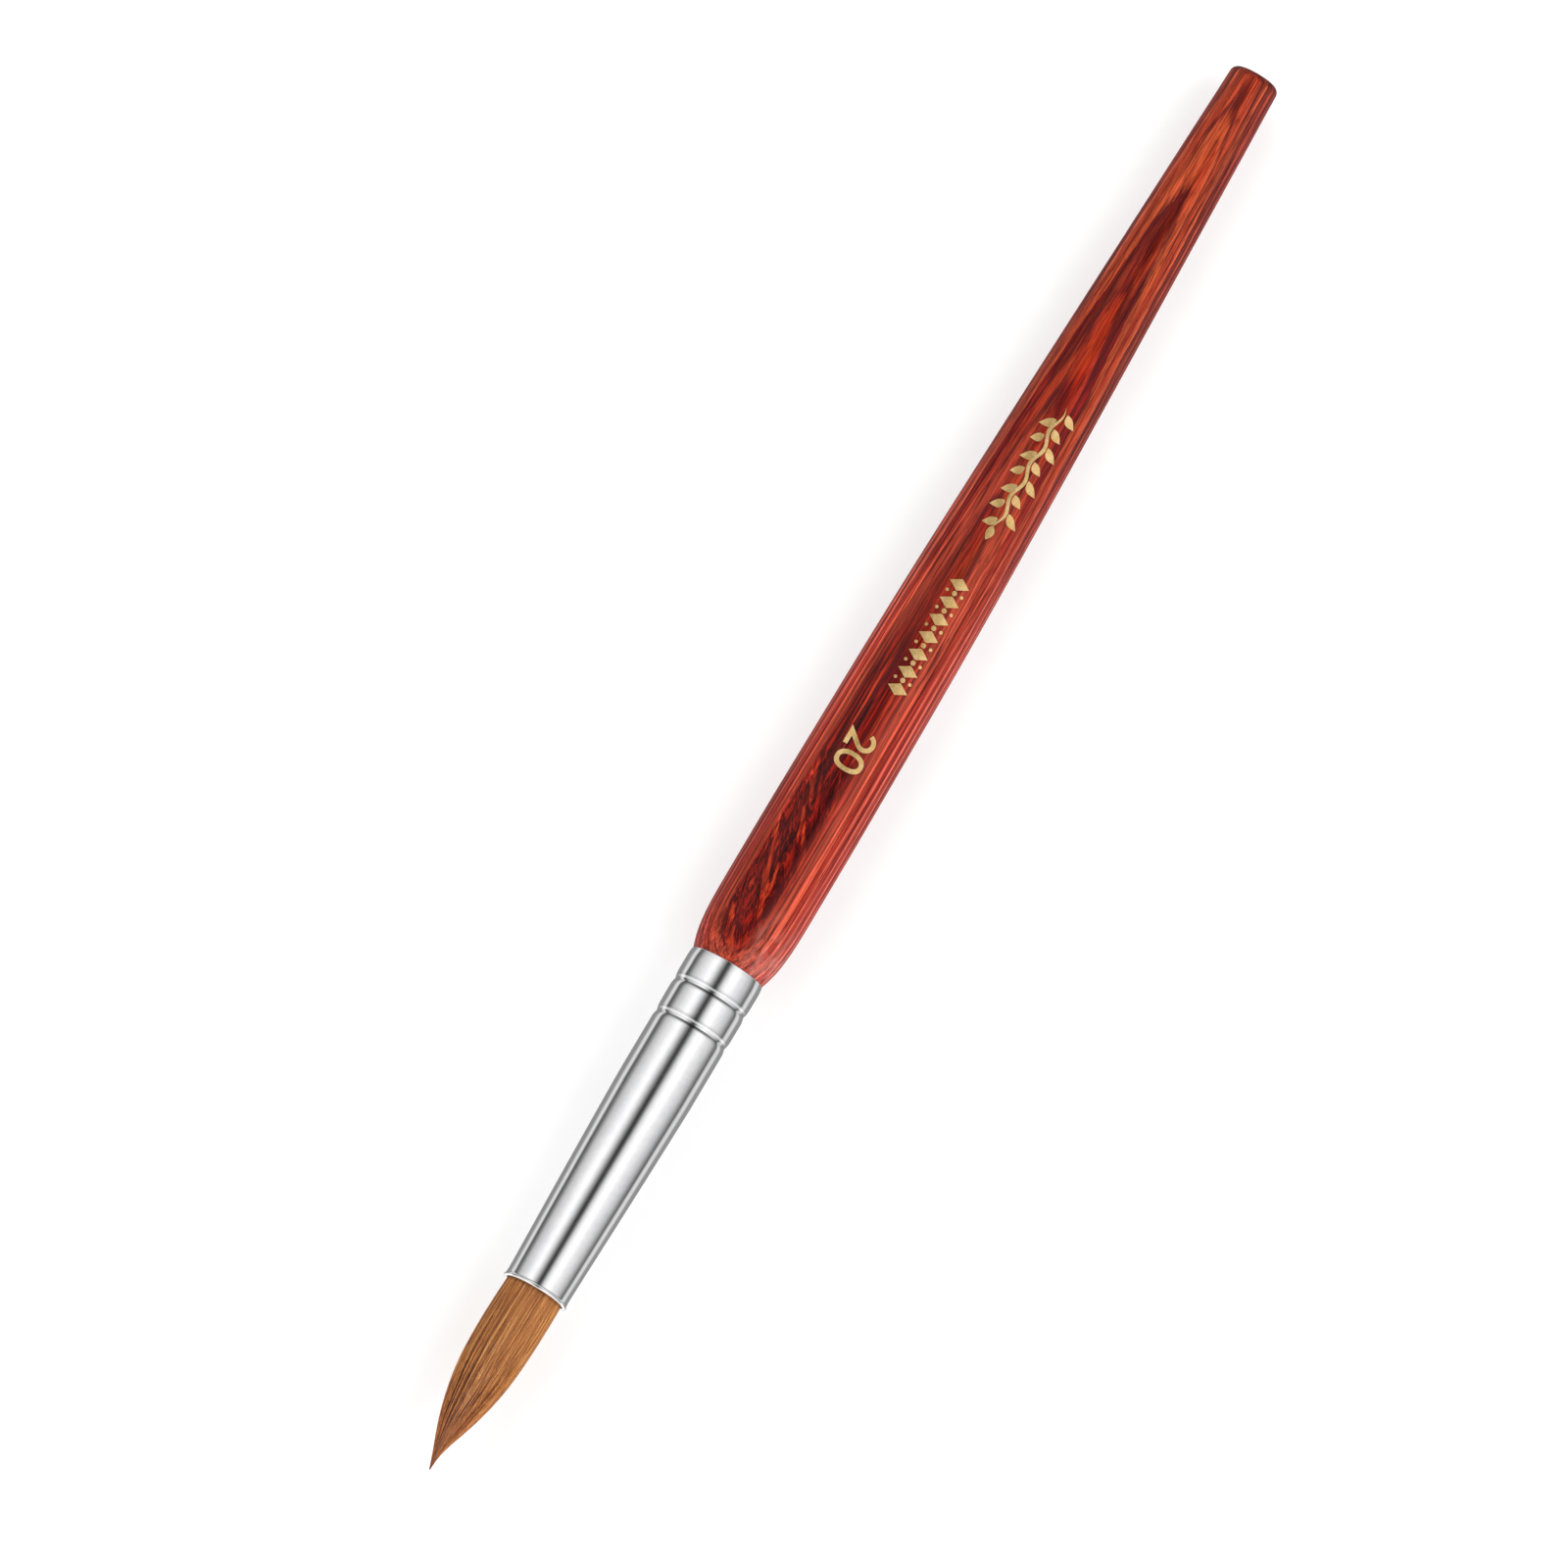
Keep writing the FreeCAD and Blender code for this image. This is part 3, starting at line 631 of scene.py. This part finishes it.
core = turned(
    "tuft_core",
    [(157.0, 0.0)] + [(float(x), float(tuft_r(x)) * 0.86) for x in core_x] + [(184.7, 0.0)],
    288, sharp=0, shape=fluted,
)
for v in core.data.vertices:
    v.co.y += float(bow(v.co.x / MM)) * MM
at = core.data.attributes.new("tone", "FLOAT", "POINT")
vals = []
for v in core.data.vertices:
    a = math.atan2(v.co.z, v.co.y)
    vals.append(0.42 + 0.22 * math.sin(61 * a + 3) * math.sin(23 * a) + 0.1 * math.sin(140 * a))
at.data.foreach_set("value", vals)
assign(core, M_CORE_SHADED)
top = strands("tuft_top_hairs", 2150, 0.955, 1.0, 7, lift=0.02)
mid = strands("tuft_under_hairs", 2100, 0.88, 0.96, 11)
for ob in (top, mid):
    assign(ob, M_HAIR)
for ob in (core, top, mid):
    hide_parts("hair_tuft")
    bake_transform(ob)

# ------------------------------------------------------------------ CAD pieces that stay
for node, mat in (("tenon_glue", M_GLUE), ("hair_root", M_CORE_SHADED), ("binding_thread", M_THREAD), ("root_resin", M_RESIN),
                  ("leaf_sprig_foil", M_GOLD), ("lozenge_row_foil", M_GOLD), ("size_mark_foil", M_GOLD)):
    assign(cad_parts[node], mat)

# ------------------------------------------------------------------ floor and light
slope = math.atan(0.0093)
fm = Nodes("pale_floor")
fn = fm.noise((0.05, 0.05, 0.05), 3.0, 0.5)
fm.put(fm.bsdf.inputs["Base Color"], fm.ramp(fn, [(0.3, (0.48, 0.48, 0.48, 1)), (0.7, (0.51, 0.51, 0.51, 1))]))
fm.bsdf.inputs["Roughness"].default_value = 0.9
fm.bsdf.inputs["Emission Color"].default_value = (1, 1, 1, 1)
fm.bsdf.inputs["Emission Strength"].default_value = 0.52
fm.bsdf.inputs["Specular IOR Level"].default_value = 0.1
me = bpy.data.meshes.new("floor")
S = 4.0
me.from_pydata([(-S, -S, 0), (S, -S, 0), (S, S, 0), (-S, S, 0)], [], [(0, 1, 2, 3)])
floor = bpy.data.objects.new("floor", me)
bpy.context.scene.collection.objects.link(floor)
floor.rotation_euler = (0, slope, 0)
cx, cz = 0.0900, -0.00543
floor.location = (cx, 0, cz - 0.00003)
assign(floor, fm.mat)

world = bpy.data.worlds.new("studio")
bpy.context.scene.world = world
world.use_nodes = True
wt = world.node_tree
wt.nodes.clear()
wo = wt.nodes.new("ShaderNodeOutputWorld")
bg = wt.nodes.new("ShaderNodeBackground")
wt.links.new(bg.outputs[0], wo.inputs[0])
geo = wt.nodes.new("ShaderNodeTexCoord")
sep = wt.nodes.new("ShaderNodeSeparateXYZ")
wt.links.new(geo.outputs["Generated"], sep.inputs[0])


def wmath(op, a, b=None, clamp=False):
    n = wt.nodes.new("ShaderNodeMath")
    n.operation, n.use_clamp = op, clamp
    for i, v in enumerate((a, b)):
        if v is None:
            continue
        if isinstance(v, bpy.types.NodeSocket):
            wt.links.new(v, n.inputs[i])
        else:
            n.inputs[i].default_value = v
    return n.outputs[0]


# long softboxes either side of the brush, seen as a ramp in the angle from overhead
beta = wmath("ARCTAN2", sep.outputs[1], sep.outputs[2])
beta = wmath("ADD", wmath("DIVIDE", beta, 2 * math.pi), 0.5)


def wramp(fac, stops):
    n = wt.nodes.new("ShaderNodeValToRGB")
    cr = n.color_ramp
    cr.interpolation = "LINEAR"
    while len(cr.elements) < len(stops):
        cr.elements.new(0.5)
    for i, (deg, v) in enumerate(sorted(stops)):
        cr.elements[i].position = deg / 360.0 + 0.5
        cr.elements[i].color = (v, v, v, 1)
    wt.links.new(fac, n.inputs[0])
    return n.outputs[0]


SKY = [
    (-180, 0.34), (-150, 0.3), (-136, 0.28), (-127, 0.4), (-119, 0.82), (-110, 0.8), (-104, 0.11), (-97, 0.13),
    (-90, 0.27), (-80, 0.58), (-68, 0.74), (-55, 0.92), (-42, 1.14), (-33, 1.18), (-22, 0.78), (-12, 0.3),
    (-5, 0.05), (0, 0.04), (5, 0.18), (12, 0.72), (20, 1.02), (30, 1.24), (40, 1.16), (52, 0.96),
    (66, 0.8), (80, 0.6), (90, 0.34), (101, 0.1), (109, 0.72), (119, 0.84), (132, 0.3), (180, 0.34)]
sky = wramp(beta, SKY)
# the softboxes end beyond the brush's ends, with a small card past each end
along = wmath("DIVIDE", wmath("ADD", wmath("ADD", sep.outputs[0], 0.165), 1.2), 2.4)
ends_map = wt.nodes.new("ShaderNodeValToRGB")
cards = [(-1.2, 0.55), (-0.70, 0.5), (-0.56, 0.12), (-0.42, 0.14), (-0.30, 0.80), (-0.13, 1.0), (0.10, 1.0), (0.36, 0.66), (0.60, 0.42), (1.2, 0.42)]
while len(ends_map.color_ramp.elements) < len(cards):
    ends_map.color_ramp.elements.new(0.5)
for i, (at_x, v) in enumerate(cards):
    ends_map.color_ramp.elements[i].position = (at_x + 1.2) / 2.4
    ends_map.color_ramp.elements[i].color = (v, v, v, 1)
wt.links.new(along, ends_map.inputs[0])
shade = wt.nodes.new("ShaderNodeVectorMath")
shade.operation = "MULTIPLY"
wt.links.new(sky, shade.inputs[0])
wt.links.new(ends_map.outputs[0], shade.inputs[1])
# the cards themselves: they light the rims at the mouth and at the rear edge all the way round
xr = wmath("ADD", sep.outputs[0], 0.165)
side = wmath("MULTIPLY", wmath("ABSOLUTE", wmath("SUBTRACT", beta, 0.5)), 0.744)
xr = wmath("ADD", xr, wmath("MULTIPLY", wmath("SIGN", xr), side))
past_map = wt.nodes.new("ShaderNodeValToRGB")
past_on = [(-1.8, 0.26), (-0.80, 0.26), (-0.72, 0.60), (-0.63, 0.60), (-0.56, 0.0), (0.46, 0.0), (0.54, 0.48), (0.64, 0.58), (0.74, 1.0), (0.95, 1.0), (1.06, 0.60), (1.8, 0.60)]
while len(past_map.color_ramp.elements) < len(past_on):
    past_map.color_ramp.elements.new(0.5)
for i, (at_x, v) in enumerate(past_on):
    past_map.color_ramp.elements[i].position = (at_x + 1.8) / 3.6
    past_map.color_ramp.elements[i].color = (v, v, v, 1)
wt.links.new(wmath("DIVIDE", wmath("ADD", xr, 1.8), 3.6), past_map.inputs[0])
past = past_map.outputs[0]
cards_on = wt.nodes.new("ShaderNodeVectorMath")
cards_on.operation = "ADD"
wt.links.new(shade.outputs[0], cards_on.inputs[0])
wt.links.new(past, cards_on.inputs[1])
up_light = wt.nodes.new("ShaderNodeLightPath")
mixw = wt.nodes.new("ShaderNodeMix")
mixw.data_type = "RGBA"
wt.links.new(up_light.outputs["Is Camera Ray"], mixw.inputs["Factor"])
wt.links.new(cards_on.outputs[0], mixw.inputs[6])
mixw.inputs[7].default_value = (0.93, 0.93, 0.93, 1)
wt.links.new(mixw.outputs[2], bg.inputs[0])
bg.inputs[1].default_value = 1.0
floor.visible_glossy = False


def sun(name, direction, strength, angle):
    """Soft distant lamp that shines from the given direction."""
    d = bpy.data.lights.new(name, "SUN")
    d.energy, d.angle = strength, math.radians(angle)
    o = bpy.data.objects.new(name, d)
    o.rotation_mode = "QUATERNION"
    o.rotation_quaternion = Vector(direction).normalized().to_track_quat("Z", "Y")
    o.visible_glossy = False
    bpy.context.scene.collection.objects.link(o)
    return o


sun("key", (-0.34, 0.66, 0.66), 1.55, 50)
sun("fill", (-0.50, -0.56, 0.66), 1.25, 40)

bpy.context.scene.view_settings.view_transform = "Standard"
bpy.context.scene.view_settings.look = "None"

# ------------------------------------------------------------------ camera
cam_d = bpy.data.cameras.new("camera")
cam = bpy.data.objects.new("camera", cam_d)
bpy.context.scene.collection.objects.link(cam)
bpy.context.scene.camera = cam
cam_d.lens, cam_d.sensor_width = 1500.0, 36.0
cam_d.clip_start, cam_d.clip_end = 0.05, 60.0
TILT_CAM, ROLL, DIST = math.radians(9.5), math.radians(30.735861), 7.357150
e1 = Vector((math.cos(TILT_CAM), 0, -math.sin(TILT_CAM)))
e2 = Vector((0, 1, 0))
w = Vector((math.sin(TILT_CAM), 0, math.cos(TILT_CAM)))
R_ = e2 * math.cos(ROLL) - e1 * math.sin(ROLL)
U_ = -e1 * math.cos(ROLL) - e2 * math.sin(ROLL)
aim = Vector((0.0925, 0, 0)) - R_ * 0.00672388 - U_ * 0.00136404
pos = aim + w * DIST
cam.matrix_world = Matrix(((R_.x, U_.x, w.x, pos.x), (R_.y, U_.y, w.y, pos.y), (R_.z, U_.z, w.z, pos.z), (0, 0, 0, 1)))
